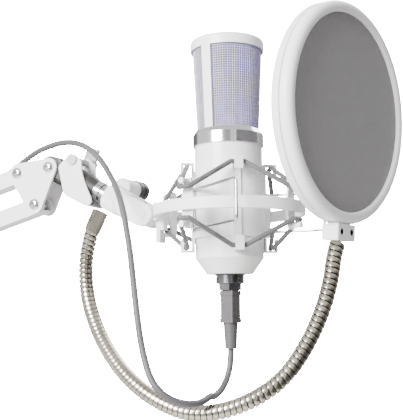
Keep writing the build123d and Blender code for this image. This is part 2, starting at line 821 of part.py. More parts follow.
rail_washer = rail_half + 0.1
tail_washer = plate_inner - 0.2
head_holes = (head_pivots[0], head_pivots[1], head_bolt)
elbow_holes = elbow_front_pivots + elbow_rear_pivots
head_plates = plate_pair(head_holes)
head_bolts = pivot_bolts(head_holes, (rail_washer, rail_washer, tail_washer))
elbow_plates = plate_pair(elbow_holes)
elbow_bolts = pivot_bolts(elbow_holes, (rail_washer,) * 4)

# ---- base and desk clamp ------------------------------------------------------------
boss_top = 36.0
boss_radius = 13.0
jaw_thickness = 10.0
bracket_foot = 14.0
with BuildPart() as base_bracket:
    with BuildSketch(side):
        with Locations(*base_pivots):
            Circle(plate_corner + 2)
        with Locations((0, boss_top + 6)):
            Rectangle(34, 8)
        make_hull()
        with Locations(*base_pivots):
            Circle(bolt_radius + 0.02, mode=Mode.SUBTRACT)
    extrude(amount=plate_outer, both=True)
    with BuildSketch(side):
        with Locations((0, boss_top + 4 + bracket_foot + 100)):
            Rectangle(200, 200)
    extrude(amount=plate_inner, both=True, mode=Mode.SUBTRACT)
    with BuildSketch(Plane.XY.offset(boss_top + 4)):
        Circle(spigot_radius)
    extrude(amount=-spigot_depth)
    with BuildSketch(Plane.XY.offset(boss_top + 4)):
        Circle(boss_radius - 2)
    extrude(amount=-3.7)

base_bolts = pivot_bolts(base_pivots, (rail_washer, rail_washer))

spine_x = -46.0
spine_thickness = 10.0
jaw_reach = 18.0
screw_radius = 5.0
with BuildPart() as clamp_frame:
    with BuildSketch(side):
        with BuildLine():
            Polyline((spine_x, jaw_thickness), (jaw_reach, jaw_thickness), (jaw_reach, 0),
                     (spine_x + spine_thickness, 0), (spine_x + spine_thickness, -clamp_opening),
                     (jaw_reach - 4, -clamp_opening), (jaw_reach - 4, -clamp_opening - jaw_thickness),
                     (spine_x, -clamp_opening - jaw_thickness), close=True)
        make_face()
    extrude(amount=clamp_width / 2, both=True)
    fillet(clamp_frame.edges().filter_by(Axis.Y).group_by(Axis.X)[0], 5)
    with BuildSketch(Plane.XY.offset(jaw_thickness)):
        Circle(boss_radius)
    extrude(amount=boss_top - jaw_thickness)
    with BuildSketch(Plane.XY.offset(boss_top)):
        Circle(spigot_radius + running_gap)
    extrude(amount=-spigot_depth, mode=Mode.SUBTRACT)
    with BuildSketch(Plane.XY.offset(-clamp_opening - jaw_thickness - 1)):
        Circle(screw_radius + running_gap)
    extrude(amount=jaw_thickness + 2, mode=Mode.SUBTRACT)
    lock_height = 23.0
    with BuildSketch(Plane(origin=(0, 0, lock_height), z_dir=(1, 0, 0))):
        Circle(3.0 + running_gap)
    extrude(amount=boss_radius + 5, mode=Mode.SUBTRACT)

with BuildPart() as lock_screw:
    with BuildSketch(Plane(origin=(spigot_radius + 0.15, 0, lock_height), z_dir=(1, 0, 0))):
        Circle(3.0)
    extrude(amount=boss_radius)
    with BuildSketch(Plane(origin=(boss_radius + 1.5, 0, lock_height), z_dir=(1, 0, 0))):
        Circle(9.0)
        with PolarLocations(9.6, 8):
            Circle(1.6, mode=Mode.SUBTRACT)
    extrude(amount=12)

pad_height = 4.0
screw_bottom = -clamp_opening - jaw_thickness - 34
with BuildPart() as clamp_foot:
    with BuildSketch(Plane.XY.offset(-desk_thickness - pad_height)):
        Circle(15)
    extrude(amount=pad_height)
    with BuildSketch(Plane.XY.offset(-desk_thickness - pad_height - 5)):
        Circle(8)
    extrude(amount=5)
    with BuildSketch(Plane.XY.offset(-desk_thickness - pad_height - 5)):
        Circle(3.6)
    extrude(amount=6.5, mode=Mode.SUBTRACT)

with BuildPart() as clamp_screw:
    with BuildSketch(Plane.XY.offset(-desk_thickness - pad_height - 5.2)):
        Circle(screw_radius)
    extrude(amount=screw_bottom + desk_thickness + pad_height + 5.2)
    with BuildSketch(Plane.XY.offset(-desk_thickness - pad_height - 5.2)):
        Circle(3.5)
    extrude(amount=6.2)
    with BuildSketch(Plane.XY.offset(screw_bottom)):
        Circle(7)
    extrude(amount=14)
    with BuildSketch(Plane.XZ):
        with Locations((0, screw_bottom + 7)):
            Circle(2.5)
    extrude(amount=26, both=True)
    for end in (1, -1):
        with BuildSketch(Plane.XZ.offset(end * 26)):
            with Locations((0, screw_bottom + 7)):
                Circle(3.8)
        extrude(amount=end * 4)

# ---- cable --------------------------------------------------------------------------
loop_points = near_mic([(0, 0, relief_tip), (0, 0, -103), (-2.3, -7.4, -117.2), (-3.8, -22.7, -122.6),
                        (1.8, -38.4, -119.2), (-0.7, -54.4, -124), (-12.4, -66.5, -121.4),
                        (-23.7, -70.7, -111.2), (-31.6, -66.6, -94.6), (-38.7, -59.6, -76.7),
                        (-45.8, -52.2, -50.3), (-53, -43.8, -25.9), (-62.6, -36.5, 3.7),
                        (-73.2, -26.7, 19.6), (-89, -19.1, 40), (-97.65, -15.45, 46.3)])
over_points = near_mic([(-97.65, -15.45, 46.3), (-106.3, -11.8, 52.6), (-125.9, -5.8, 58.3),
                        (-146.8, -1.9, 55.9), (-161.1, 4.3, 53.3), (-169, 10.05, 52.25)])


def cable_tube(points):
    with BuildPart() as tube:
        with BuildLine() as line:
            FilletPolyline(*points, radius=corner_radii(points))
        with BuildSketch(sweep_plane(points)):
            Circle(cable_diameter / 2)
        sweep()
    return tube, line.wire().length


cable_loop, loop_length = cable_tube(loop_points)
tube_report("cable_loop", cable_loop.part, loop_length, cable_diameter, loop_points)
cable_over, over_length = cable_tube(over_points)
tube_report("cable_over", cable_over.part, over_length, cable_diameter, over_points)

# the rest is wound into a coil that a strap holds against the far side of the front arm
bundle = coil_turns_wide * cable_diameter
coil_inner_y = rail_half + 1.2
coil_middle_y = coil_inner_y + bundle / 2
coil_along = arm_length - 104.0
rail_top = shifted(elbow_front_pivots[0], along(front_angle, coil_along))
coil_centre = shifted(rail_top, along(front_angle - 90, coil_radius))
coil_plane = Plane(origin=(coil_centre[0], 0, coil_centre[1]), x_dir=(1, 0, 0), z_dir=(0, -1, 0))
with BuildPart() as cable_coil:
    with BuildSketch(coil_plane.offset(-coil_inner_y)):
        Circle(coil_radius + bundle / 2)
        Circle(coil_radius - bundle / 2, mode=Mode.SUBTRACT)
    extrude(amount=-bundle)
    fillet(cable_coil.edges().filter_by(GeomType.CIRCLE), 3)

arm_points = near_mic([(-169, 10.05, 52.25), (-176.9, 15.8, 51.2), (-199, 15.2, 38),
                       (-217, 14.4, 28.2), (-240, 13.8, 20.5)]) + [(rail_top[0] - 1, coil_middle_y, rail_top[1])]
cable_arm, arm_cable_length = cable_tube(arm_points)
tube_report("cable_arm", cable_arm.part, arm_cable_length, cable_diameter, arm_points)

strap_wall = 1.4
strap_width = 12.0
strap_far = coil_inner_y + bundle + 0.2
plug_gap = 9.6
with BuildPart() as coil_strap:
    with BuildSketch(Plane(origin=(rail_top[0], 0, rail_top[1]), x_dir=(0, 1, 0),
                           z_dir=(cos(radians(front_angle)), 0, sin(radians(front_angle))))):
        middle = (strap_far + plug_gap - rail_half) / 2
        width = strap_far + plug_gap + rail_half
        with Locations((middle, 0)):
            RectangleRounded(width + 2 * strap_wall, 15.6 + 2 * strap_wall, 2.5)
            RectangleRounded(width + 0.1, 15.6, 1.2, mode=Mode.SUBTRACT)
    extrude(amount=strap_width / 2, both=True)

plug_y = strap_far + plug_gap / 2
with BuildPart() as computer_plug:
    for start, length, wide, thick in ((-15, 30, 14.0, 8.0), (-34, 19, 12.0, 4.5)):
        plug_start = shifted(rail_top, along(front_angle, start))
        with BuildSketch(Plane(origin=(plug_start[0], plug_y, plug_start[1]), x_dir=(0, 1, 0),
                               z_dir=(cos(radians(front_angle)), 0, sin(radians(front_angle))))):
            RectangleRounded(thick, wide, 1.0)
        extrude(amount=length)
    relief_start = shifted(rail_top, along(front_angle, 15))
    relief_plane = Plane(origin=(relief_start[0], plug_y, relief_start[1]),
                         z_dir=(cos(radians(front_angle)), 0, sin(radians(front_angle))))
    with BuildSketch(relief_plane):
        Circle(3.6)
    with BuildSketch(relief_plane.offset(14)):
        Circle(2.6)
    loft()

# ---- write --------------------------------------------------------------------------
pieces = {
    "body_tube": body_tube, "tail_cone": tail_cone, "trim_ring": trim_ring,
    "grille_mesh": grille_mesh, "grille_frame": grille_frame, "thread_ferrule": thread_ferrule,
    "lock_nut": lock_nut, "usb_socket": usb_socket, "circuit_board": circuit_board,
    "light_ring": light_ring, "capsule_body": capsule_body,
    "capsule_diaphragms": capsule_diaphragms, "capsule_saddle": capsule_saddle,
    "usb_plug": usb_plug, "suspension_ring": suspension_ring,
    "ring_posts": ring_posts, "cradle": cradle, "upper_elastic": upper_elastic,
    "lower_elastic": lower_elastic, "front_handle": front_handle, "side_handle": side_handle,
    "ring_bracket": ring_bracket, "tilt_fork": tilt_fork, "tilt_bolt": tilt_bolt,
    "swivel_knob": swivel_knob, "thread_sleeve": thread_sleeve, "thread_stud": thread_stud,
    "stud_nut": stud_nut, "swivel_barrel": swivel_barrel, "pop_clamp": pop_clamp,
    "pop_clamp_screw": pop_clamp_screw, "neck_ferrule": neck_ferrule, "gooseneck": gooseneck,
    "filter_hoop_front": filter_hoop_front, "filter_hoop_back": filter_hoop_back,
    "filter_foot": filter_foot, "foot_screws": foot_screws, "filter_fabric": filter_fabric,
    "front_upper_rail": front_upper_rail, "front_lower_rail": front_lower_rail,
    "rear_upper_rail": rear_upper_rail, "rear_lower_rail": rear_lower_rail,
    "front_spring": front_spring, "rear_spring": rear_spring, "head_plates": head_plates,
    "head_bolts": head_bolts, "elbow_plates": elbow_plates, "elbow_bolts": elbow_bolts,
    "base_bracket": base_bracket, "base_bolts": base_bolts, "clamp_frame": clamp_frame,
    "lock_screw": lock_screw, "clamp_foot": clamp_foot, "clamp_screw": clamp_screw,
    "cable_loop": cable_loop, "cable_over": cable_over,
    "cable_arm": cable_arm, "cable_coil": cable_coil, "coil_strap": coil_strap,
    "computer_plug": computer_plug,
}
for name, piece in pieces.items():
    piece.part.label = name
    export_step(piece.part, f"parts/{name}.step")
print(len(pieces), "nodes; microphone axis at x", round(mic_x, 2), "ring at z", round(ring_z, 2))
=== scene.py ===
import math

import bpy
from mathutils import Matrix, Vector


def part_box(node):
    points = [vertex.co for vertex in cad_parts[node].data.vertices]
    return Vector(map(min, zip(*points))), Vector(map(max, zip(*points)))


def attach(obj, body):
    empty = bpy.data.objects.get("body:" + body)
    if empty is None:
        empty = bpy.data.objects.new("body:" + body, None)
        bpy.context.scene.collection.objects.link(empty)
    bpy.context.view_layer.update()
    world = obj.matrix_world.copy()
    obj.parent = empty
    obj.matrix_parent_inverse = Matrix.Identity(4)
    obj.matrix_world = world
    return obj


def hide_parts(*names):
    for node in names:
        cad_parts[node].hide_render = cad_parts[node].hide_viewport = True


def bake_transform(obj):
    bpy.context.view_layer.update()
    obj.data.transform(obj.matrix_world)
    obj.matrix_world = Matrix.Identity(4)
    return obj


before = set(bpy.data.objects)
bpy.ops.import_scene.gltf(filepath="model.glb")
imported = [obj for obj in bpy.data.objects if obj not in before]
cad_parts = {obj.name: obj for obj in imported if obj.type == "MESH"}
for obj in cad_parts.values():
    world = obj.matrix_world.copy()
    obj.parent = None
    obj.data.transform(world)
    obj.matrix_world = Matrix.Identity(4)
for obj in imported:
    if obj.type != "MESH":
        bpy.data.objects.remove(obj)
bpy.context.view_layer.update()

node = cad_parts
ringLow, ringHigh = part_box("suspension_ring")
ringCentre = (ringLow + ringHigh) / 2      # the microphone's axis, at the middle of the ring


def near(x, y, z):
    return ringCentre + Vector((x, y, z)) / 1000      # millimetres from the ring's centre


# one piece selected at a time, finished with its place in its mesh
def deselect():
    if bpy.context.mode != "OBJECT":
        bpy.ops.object.mode_set(mode="OBJECT")
    bpy.ops.object.select_all(action="DESELECT")


def pick(piece):
    deselect()
    piece.select_set(True)
    bpy.context.view_layer.objects.active = piece
    return piece


def settle(piece, place=None):
    # bakes the object's transform, then the wanted place, into the mesh
    bpy.context.view_layer.update()
    piece.data.transform(piece.matrix_world)
    piece.matrix_world = Matrix.Identity(4)
    if place is not None:
        piece.data.transform(place)
    piece.data.update()
    return piece


def joined(name, pieces):
    pick(pieces[0])
    for piece in pieces[1:]:
        piece.select_set(True)
    if len(pieces) > 1:
        bpy.ops.object.join()
    whole = bpy.context.object
    whole.name = name
    return whole


def discard(piece):
    bpy.data.objects.remove(piece)


def applyAll(piece):
    pick(piece)
    for modifier in list(piece.modifiers):
        bpy.ops.object.modifier_apply(modifier=modifier.name)
    return piece


def smooth(piece, angle=35):
    pick(piece)
    bpy.ops.object.shade_smooth_by_angle(angle=math.radians(angle))
    return piece


def along(direction, across=(0, 0, 1)):
    # turns +Z to the direction
    return Vector(direction).normalized().to_track_quat("Z", "Y").to_matrix().to_4x4()


def placed(point, direction=(0, 0, 1)):
    return Matrix.Translation(Vector(point)) @ along(direction)


def turned(name, profile, place=None, steps=64, angle=35):
    # a profile of (radius, height) millimetres, drawn by extruding a corner and spun round Z
    deselect()
    bpy.ops.mesh.primitive_plane_add(size=0.002, location=(0, 0, 0))
    piece = bpy.context.object
    piece.name = name
    bpy.ops.object.mode_set(mode="EDIT")
    bpy.ops.mesh.select_all(action="SELECT")
    bpy.ops.mesh.merge(type="CENTER")
    bpy.ops.transform.translate(value=(profile[0][0] / 1000, 0, profile[0][1] / 1000))
    for (r0, z0), (r1, z1) in zip(profile, profile[1:]):
        bpy.ops.mesh.extrude_vertices_move(
            TRANSFORM_OT_translate={"value": ((r1 - r0) / 1000, 0, (z1 - z0) / 1000)})
    bpy.ops.mesh.select_all(action="SELECT")
    bpy.ops.mesh.spin(steps=steps, angle=2 * math.pi, center=(0, 0, 0), axis=(0, 0, 1))
    bpy.ops.mesh.select_all(action="SELECT")
    bpy.ops.mesh.remove_doubles(threshold=2e-6)
    bpy.ops.mesh.normals_make_consistent(inside=False)
    bpy.ops.object.mode_set(mode="OBJECT")
    settle(piece, place)
    return smooth(piece, angle)


def block(name, size, place=None, bevel=0.6, segments=2):
    # a box in millimetres with its edges broken
    deselect()
    bpy.ops.mesh.primitive_cube_add(size=1, location=(0, 0, 0))
    piece = bpy.context.object
    piece.name = name
    bpy.ops.object.mode_set(mode="EDIT")
    bpy.ops.transform.resize(value=[side / 1000 for side in size])
    if bevel:
        bpy.ops.mesh.bevel(offset=bevel / 1000, segments=segments, affect="EDGES")
    bpy.ops.object.mode_set(mode="OBJECT")
    settle(piece, place)
    return smooth(piece, 40)


def rod(name, start, end, diameter, sides=16):
    # a straight round bar with domed ends
    start, end = Vector(start), Vector(end)
    half, radius = (end - start).length * 500, diameter / 2
    dome = [(radius * math.sin(a), radius * (1 - math.cos(a))) for a in (0, 0.55, 1.1, math.pi / 2)]
    profile = [(r, -half - radius * 0.6 + h * 0.6) for r, h in dome]
    profile += [(r, half + radius * 0.6 - h * 0.6) for r, h in reversed(dome)]
    return turned(name, profile, placed((start + end) / 2, end - start), sides, 60)


def routeCurve(name, points, resolution=8):
    data = bpy.data.curves.new(name, "CURVE")
    data.dimensions = "3D"
    data.resolution_u = resolution
    data.use_fill_caps = True
    spline = data.splines.new("NURBS")
    spline.points.add(len(points) - 1)
    for spot, point in zip(spline.points, points):
        spot.co = (*point, 1)
    spline.order_u = 3
    spline.use_endpoint_u = True
    curve = bpy.data.objects.new(name, data)
    bpy.context.scene.collection.objects.link(curve)
    return curve


def lineOf(curve):
    mesh = bpy.data.meshes.new_from_object(curve)
    line = [vertex.co.copy() for vertex in mesh.vertices]
    bpy.data.meshes.remove(mesh)
    return line


def tube(name, points, diameter, resolution=8, sides=5):
    # a tube swept along a smooth route; returns the mesh and the line it follows
    curve = routeCurve(name, points, resolution)
    line = lineOf(curve)
    curve.data.bevel_depth = diameter / 2000
    curve.data.bevel_resolution = sides
    bpy.context.view_layer.update()
    pick(curve)
    bpy.ops.object.convert(target="MESH")
    return smooth(bpy.context.object, 50), line


def lengthOf(line):
    return sum((b - a).length for a, b in zip(line, line[1:]))


def newMaterial(name):
    material = bpy.data.materials.new(name)
    material.use_nodes = True
    nodes, links = material.node_tree.nodes, material.node_tree.links
    return material, nodes, links, nodes["Principled BSDF"]


def addNode(nodes, kind, **values):
    made = nodes.new(kind)
    for key, value in values.items():
        if hasattr(made, key):
            setattr(made, key, value)
        else:
            made.inputs[key.replace("_", " ")].default_value = value
    return made


def finishOf(name, base, tone=None, rough=0.4, swing=0.06, metal=0.0, mottle=35.0, grain=2200.0,
             depth=0.00002, coat=0.0, sheen=0.0, stretch=(1, 1, 1), spec=0.5):
    # colour that drifts, roughness that varies and a fine surface grain
    material, nodes, links, shader = newMaterial(name)
    coords = addNode(nodes, "ShaderNodeTexCoord")
    mapping = addNode(nodes, "ShaderNodeMapping", Scale=stretch)
    links.new(coords.outputs["Object"], mapping.inputs["Vector"])
    drift = addNode(nodes, "ShaderNodeTexNoise", Scale=mottle, Detail=5.0)
    links.new(mapping.outputs["Vector"], drift.inputs["Vector"])
    ramp = addNode(nodes, "ShaderNodeValToRGB")
    ramp.color_ramp.elements[0].position, ramp.color_ramp.elements[1].position = 0.36, 0.64
    ramp.color_ramp.elements[0].color = (*(tone or [0.93 * c for c in base]), 1)
    ramp.color_ramp.elements[1].color = (*base, 1)
    links.new(drift.outputs["Fac"], ramp.inputs["Fac"])
    links.new(ramp.outputs["Color"], shader.inputs["Base Color"])
    wear = addNode(nodes, "ShaderNodeMapRange")
    wear.inputs["To Min"].default_value = max(0.02, rough - swing)
    wear.inputs["To Max"].default_value = min(1, rough + swing)
    fine = addNode(nodes, "ShaderNodeTexNoise", Scale=grain, Detail=3.0)
    links.new(mapping.outputs["Vector"], fine.inputs["Vector"])
    links.new(drift.outputs["Fac"], wear.inputs["Value"])
    links.new(wear.outputs["Result"], shader.inputs["Roughness"])
    bump = addNode(nodes, "ShaderNodeBump", Strength=0.5, Distance=depth)
    links.new(fine.outputs["Fac"], bump.inputs["Height"])
    links.new(bump.outputs["Normal"], shader.inputs["Normal"])
    shader.inputs["Metallic"].default_value = metal
    shader.inputs["Coat Weight"].default_value = coat
    shader.inputs["Sheen Weight"].default_value = sheen
    shader.inputs["Specular IOR Level"].default_value = spec
    return material


def wovenOf(name, base, dark, across, lengthwise, rough=0.85, depth=0.0002, coordinate="UV", slant=0.0):
    # over-and-under yarns on the piece's own map, with painted shade between the yarns and a painted
    # highlight at the crown of each yarn
    material, nodes, links, shader = newMaterial(name)
    coords = addNode(nodes, "ShaderNodeTexCoord")
    mapping = addNode(nodes, "ShaderNodeMapping", Rotation=(0, 0, slant))
    mapping.inputs["Scale"].default_value = (across, lengthwise, 1)
    links.new(coords.outputs[coordinate], mapping.inputs["Vector"])
    heights = []
    for direction in ("X", "Y"):
        wave = addNode(nodes, "ShaderNodeTexWave", bands_direction=direction, Scale=0.5)
        links.new(mapping.outputs["Vector"], wave.inputs["Vector"])
        heights.append(wave)
    yarn = addNode(nodes, "ShaderNodeMath", operation="MULTIPLY")
    links.new(heights[0].outputs["Fac"], yarn.inputs[0])
    links.new(heights[1].outputs["Fac"], yarn.inputs[1])
    # painted shade and highlight: the valleys take the dark colour, the crowns the base colour
    ramp = addNode(nodes, "ShaderNodeValToRGB")
    ramp.color_ramp.elements[0].color = (*dark, 1)
    ramp.color_ramp.elements[1].color = (*base, 1)
    ramp.color_ramp.elements[1].position = 0.5
    links.new(yarn.outputs[0], ramp.inputs["Fac"])
    links.new(ramp.outputs["Color"], shader.inputs["Base Color"])
    bump = addNode(nodes, "ShaderNodeBump", Strength=0.7, Distance=depth)
    links.new(yarn.outputs[0], bump.inputs["Height"])
    links.new(bump.outputs["Normal"], shader.inputs["Normal"])
    shader.inputs["Roughness"].default_value = rough
    shader.inputs["Sheen Weight"].default_value = 0.25
    return material


print("materials")
whitePaint = finishOf("whitePaint", (0.87, 0.865, 0.86), (0.85, 0.845, 0.84), 0.34, 0.05, mottle=22,
                      grain=2600, depth=0.00001, coat=0.15)
whitePlastic = finishOf("whitePlastic", (0.87, 0.865, 0.865), (0.85, 0.845, 0.85), 0.42, 0.05,
                        mottle=28, grain=3000, depth=0.000012)
armPaint = finishOf("armPaint", (0.82, 0.815, 0.81), (0.79, 0.785, 0.785), 0.45, 0.06, mottle=18,
                    grain=1800, depth=0.00002)
meshWire = finishOf("meshWire", (0.5, 0.485, 0.54), (0.42, 0.4, 0.46), 0.38, 0.06, mottle=120,
                    grain=4000, depth=0.00001)
chrome = finishOf("chrome", (0.72, 0.72, 0.725), (0.66, 0.66, 0.67), 0.16, 0.05, metal=1, mottle=30,
                  grain=500, depth=0.000006)
darkChrome = finishOf("darkChrome", (0.34, 0.335, 0.35), (0.26, 0.255, 0.27), 0.24, 0.06, metal=1,
                      mottle=60, grain=900, depth=0.000008)
nickel = finishOf("nickel", (0.5, 0.46, 0.39), (0.4, 0.365, 0.3), 0.24, 0.07, metal=1, mottle=60,
                  grain=1500, depth=0.00001)
darkPlastic = finishOf("darkPlastic", (0.03, 0.028, 0.026), (0.022, 0.021, 0.02), 0.42, 0.08,
                       mottle=60, grain=2500, depth=0.00002)
greyPlastic = finishOf("greyPlastic", (0.09, 0.085, 0.09), (0.076, 0.072, 0.077), 0.45, 0.06,
                       mottle=50, grain=2500, depth=0.00002)
paleGreyPlastic = finishOf("paleGreyPlastic", (0.52, 0.51, 0.52), (0.48, 0.47, 0.485), 0.45, 0.06,
                           mottle=50, grain=2500, depth=0.00002)
cableSkin = finishOf("cableSkin", (0.085, 0.079, 0.086), (0.07, 0.065, 0.071), 0.5, 0.07, mottle=45,
                     grain=1700, depth=0.00003, sheen=0.05)
blackRubber = finishOf("blackRubber", (0.03, 0.03, 0.03), (0.022, 0.022, 0.022), 0.75, 0.08,
                       mottle=60, grain=1500, depth=0.00005)
springSteel = finishOf("springSteel", (0.55, 0.55, 0.56), (0.48, 0.48, 0.5), 0.28, 0.06, metal=1)
boardGreen = finishOf("boardGreen", (0.02, 0.13, 0.06), (0.015, 0.1, 0.045), 0.4, 0.08, mottle=300)
brass = finishOf("brass", (0.72, 0.52, 0.2), (0.62, 0.44, 0.17), 0.28, 0.06, metal=1)
goldFilm = finishOf("goldFilm", (0.8, 0.62, 0.26), (0.7, 0.52, 0.2), 0.2, 0.05, metal=1, mottle=90)
braid = wovenOf("braid", (0.13, 0.125, 0.135), (0.06, 0.057, 0.063), 900, 900, 0.7, 0.0001, "Object", 0.6)
netting = wovenOf("netting", (0.26, 0.248, 0.258), (0.19, 0.182, 0.19), 1500, 1500, 0.85, 0.00005, "Object")

print("camera and light")
cameraValues = {"place": (209.47, -541.59, -69.1), "turn": 23.0, "rise": 6.8755, "roll": -0.56,
                "focal": 76.82}
turnAngle, riseAngle, rollAngle = (math.radians(cameraValues[key]) for key in ("turn", "rise", "roll"))
forward = Vector((-math.sin(turnAngle) * math.cos(riseAngle),
                  math.cos(turnAngle) * math.cos(riseAngle), math.sin(riseAngle)))
level = Vector((math.cos(turnAngle), math.sin(turnAngle), 0))
upright = level.cross(forward)
rightward = level * math.cos(rollAngle) + upright * math.sin(rollAngle)
upward = upright * math.cos(rollAngle) - level * math.sin(rollAngle)
cameraData = bpy.data.cameras.new("camera")
cameraData.sensor_fit = "HORIZONTAL"
cameraData.sensor_width = 36
cameraData.lens = cameraValues["focal"]
cameraData.clip_end = 20
camera = bpy.data.objects.new("camera", cameraData)
bpy.context.scene.collection.objects.link(camera)
turnMatrix = Matrix((rightward, upward, -forward)).transposed().to_4x4()
camera.matrix_world = Matrix.Translation(near(*cameraValues["place"])) @ turnMatrix
bpy.context.scene.camera = camera


def softLight(name, place, aim, size, power, colour=(1, 1, 1)):
    data = bpy.data.lights.new(name, "AREA")
    data.shape, data.size, data.energy, data.color = "DISK", size, power, colour
    lamp = bpy.data.objects.new(name, data)
    bpy.context.scene.collection.objects.link(lamp)
    lamp.matrix_world = placed(near(*place), near(*place) - near(*aim))
    return lamp


lightValues = {"key": 62.0, "fill": 2.0, "rim": 16.0, "sky": 1.5, "backdrop": 40.0}
softLight("key", (-330, -1150, 420), (0, 0, 0), 0.7, lightValues["key"])
softLight("fill", (-900, -300, -500), (0, 0, 0), 0.8, lightValues["fill"])
softLight("rim", (200, 1000, 900), (0, 0, 0), 0.8, lightValues["rim"])
world = bpy.data.worlds.new("studio")
world.use_nodes = True
bpy.context.scene.world = world
worldNodes, worldLinks = world.node_tree.nodes, world.node_tree.links
background = worldNodes["Background"]
direction = addNode(worldNodes, "ShaderNodeTexCoord")
compass = addNode(worldNodes, "ShaderNodeTexGradient", gradient_type="RADIAL")
worldLinks.new(direction.outputs["Generated"], compass.inputs["Vector"])
panels = addNode(worldNodes, "ShaderNodeValToRGB")      # light and dark studio panels by compass
stops = [(0.0, 0.85), (0.215, 0.85), (0.25, 0.4), (0.325, 0.38), (0.335, 1.0), (0.352, 1.0),
         (0.368, 0.1), (0.56, 0.08), (0.6, 0.4), (0.82, 0.4), (0.85, 0.16), (0.965, 0.16), (0.985, 0.85)]
panelStops = panels.color_ramp.elements
panelStops[0].position, panelStops[1].position = stops[0][0], stops[-1][0]
for position, tone in stops[1:-1]:
    panelStops.new(position)
for element, (position, tone) in zip(panelStops, stops):
    element.color = (tone, tone, tone, 1)
worldLinks.new(compass.outputs["Fac"], panels.inputs["Fac"])
heightSplit = addNode(worldNodes, "ShaderNodeSeparateXYZ")
worldLinks.new(direction.outputs["Generated"], heightSplit.inputs["Vector"])
overhead = addNode(worldNodes, "ShaderNodeMapRange")
overhead.inputs["From Min"].default_value, overhead.inputs["From Max"].default_value = 0.25, 0.6
worldLinks.new(heightSplit.outputs["Z"], overhead.inputs["Value"])
domeMix = addNode(worldNodes, "ShaderNodeMix", data_type="RGBA")
worldLinks.new(overhead.outputs["Result"], domeMix.inputs[0])
worldLinks.new(panels.outputs["Color"], domeMix.inputs[6])
domeMix.inputs[7].default_value = (0.8, 0.8, 0.8, 1)
path = addNode(worldNodes, "ShaderNodeLightPath")
backdropMix = addNode(worldNodes, "ShaderNodeMix", data_type="RGBA")
worldLinks.new(path.outputs["Is Camera Ray"], backdropMix.inputs[0])
worldLinks.new(domeMix.outputs[2], backdropMix.inputs[6])
backdropMix.inputs[7].default_value = (*[lightValues["backdrop"]] * 3, 1)
worldLinks.new(backdropMix.outputs[2], background.inputs["Color"])
background.inputs["Strength"].default_value = lightValues["sky"]

tableValues = {"back": -35.2, "front": 900.0, "half": 620.0, "thick": 30.0}
tableTop = block("tableTop", (tableValues["front"] - tableValues["back"], 2 * tableValues["half"],
                              tableValues["thick"]),
                 Matrix.Translation(Vector(((tableValues["front"] + tableValues["back"]) / 2, 0,
                                            -tableValues["thick"] / 2)) / 1000), 2)
tableTop.data.materials.append(finishOf("paleTable", (0.8, 0.79, 0.775), (0.77, 0.76, 0.745), 0.5,
                                        0.05, mottle=6, grain=700, depth=0.00004))

print("cable")
cableValues = {"diameter": 4.2, "coilRadius": 24.0, "turns": 9, "perTurn": 12}
plugTip = -92.4
loopRoute = [(0, 0, plugTip + 2), (0, 0, -103), (-2.3, -7.4, -117.2), (-3.8, -22.7, -122.6),
             (1.8, -38.4, -119.2), (-0.7, -54.4, -124), (-12.4, -66.5, -121.4),
             (-23.7, -70.7, -111.2), (-31.6, -66.6, -94.6), (-38.7, -59.6, -76.7),
             (-45.8, -52.2, -50.3), (-53, -43.8, -25.9), (-62.6, -36.5, 3.7),
             (-73.2, -26.7, 19.6), (-89, -19.1, 40), (-97.65, -15.45, 46.3)]
overRoute = [(-97.65, -15.45, 46.3), (-106.3, -11.8, 52.6), (-125.9, -5.8, 58.3),
             (-146.8, -1.9, 55.9), (-161.1, 4.3, 53.3), (-169, 10.05, 52.25)]
armRoute = [(-169, 10.05, 52.25), (-176.9, 15.8, 51.2), (-199, 15.2, 38), (-217, 14.4, 28.2),
            (-238, 11.5, 21)]


def nearAll(route):
    return [near(*point) for point in route]


cableLoop, loopLine = tube("cableLoop", nearAll(loopRoute), cableValues["diameter"])
cableOver, overLine = tube("cableOver", nearAll(overRoute), cableValues["diameter"])

# the coil lies flat against the arm's far side, three turns wide and three deep
coilLow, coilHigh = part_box("cable_coil")
coilMiddle = (coilLow + coilHigh) / 2
armSlope = math.radians(15)
coilStart = math.pi / 2 + armSlope
turns, perTurn = cableValues["turns"], cableValues["perTurn"]
coilRoute = []
lanes = [(0, 0), (1, 0), (2, 0), (2, 1), (2, 2), (1, 2), (1, 1), (0, 1), (0, 2)]
for step in range((turns - 1) * perTurn + 10):
    lap, part = divmod(step, perTurn)
    lane = lanes[min(lap, turns - 1)]
    following = lanes[min(lap + 1, turns - 1)]
    share = min(1.0, max(0.0, (part / perTurn - 0.7) / 0.3))
    ringOut = (lane[0] + (following[0] - lane[0]) * share - 1) * 4.2
    sideways = (lane[1] + (following[1] - lane[1]) * share - 1) * 4.2
    turn = coilStart + 2 * math.pi * step / perTurn
    radius = (cableValues["coilRadius"] - ringOut) * 1.035
    coilSpot = Vector((radius * math.cos(turn), sideways, radius * math.sin(turn)))
    coilRoute.append(coilMiddle + coilSpot / 1000)
tail = [(192.8, 19.5, 494), (199, 22, 503), (199, 24.2, 511.5), (192.8, 24.8, 513.5), (182, 24.8, 510.6)]
tailPoints = [Vector(point) / 1000 for point in tail]
armPoints = nearAll(armRoute) + coilRoute + tailPoints
cableCoil, coilLine = tube("cableCoil", armPoints, cableValues["diameter"], 3, 3)
for piece, nodes in ((cableLoop, ["cable_loop"]), (cableOver, ["cable_over"]),
                     (cableCoil, ["cable_arm", "cable_coil"])):
    piece.data.materials.append(cableSkin)
    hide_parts(*nodes)
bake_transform(cableLoop)
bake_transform(cableOver)
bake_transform(cableCoil)
print("cable lengths", lengthOf(loopLine), lengthOf(overLine), lengthOf(coilLine))

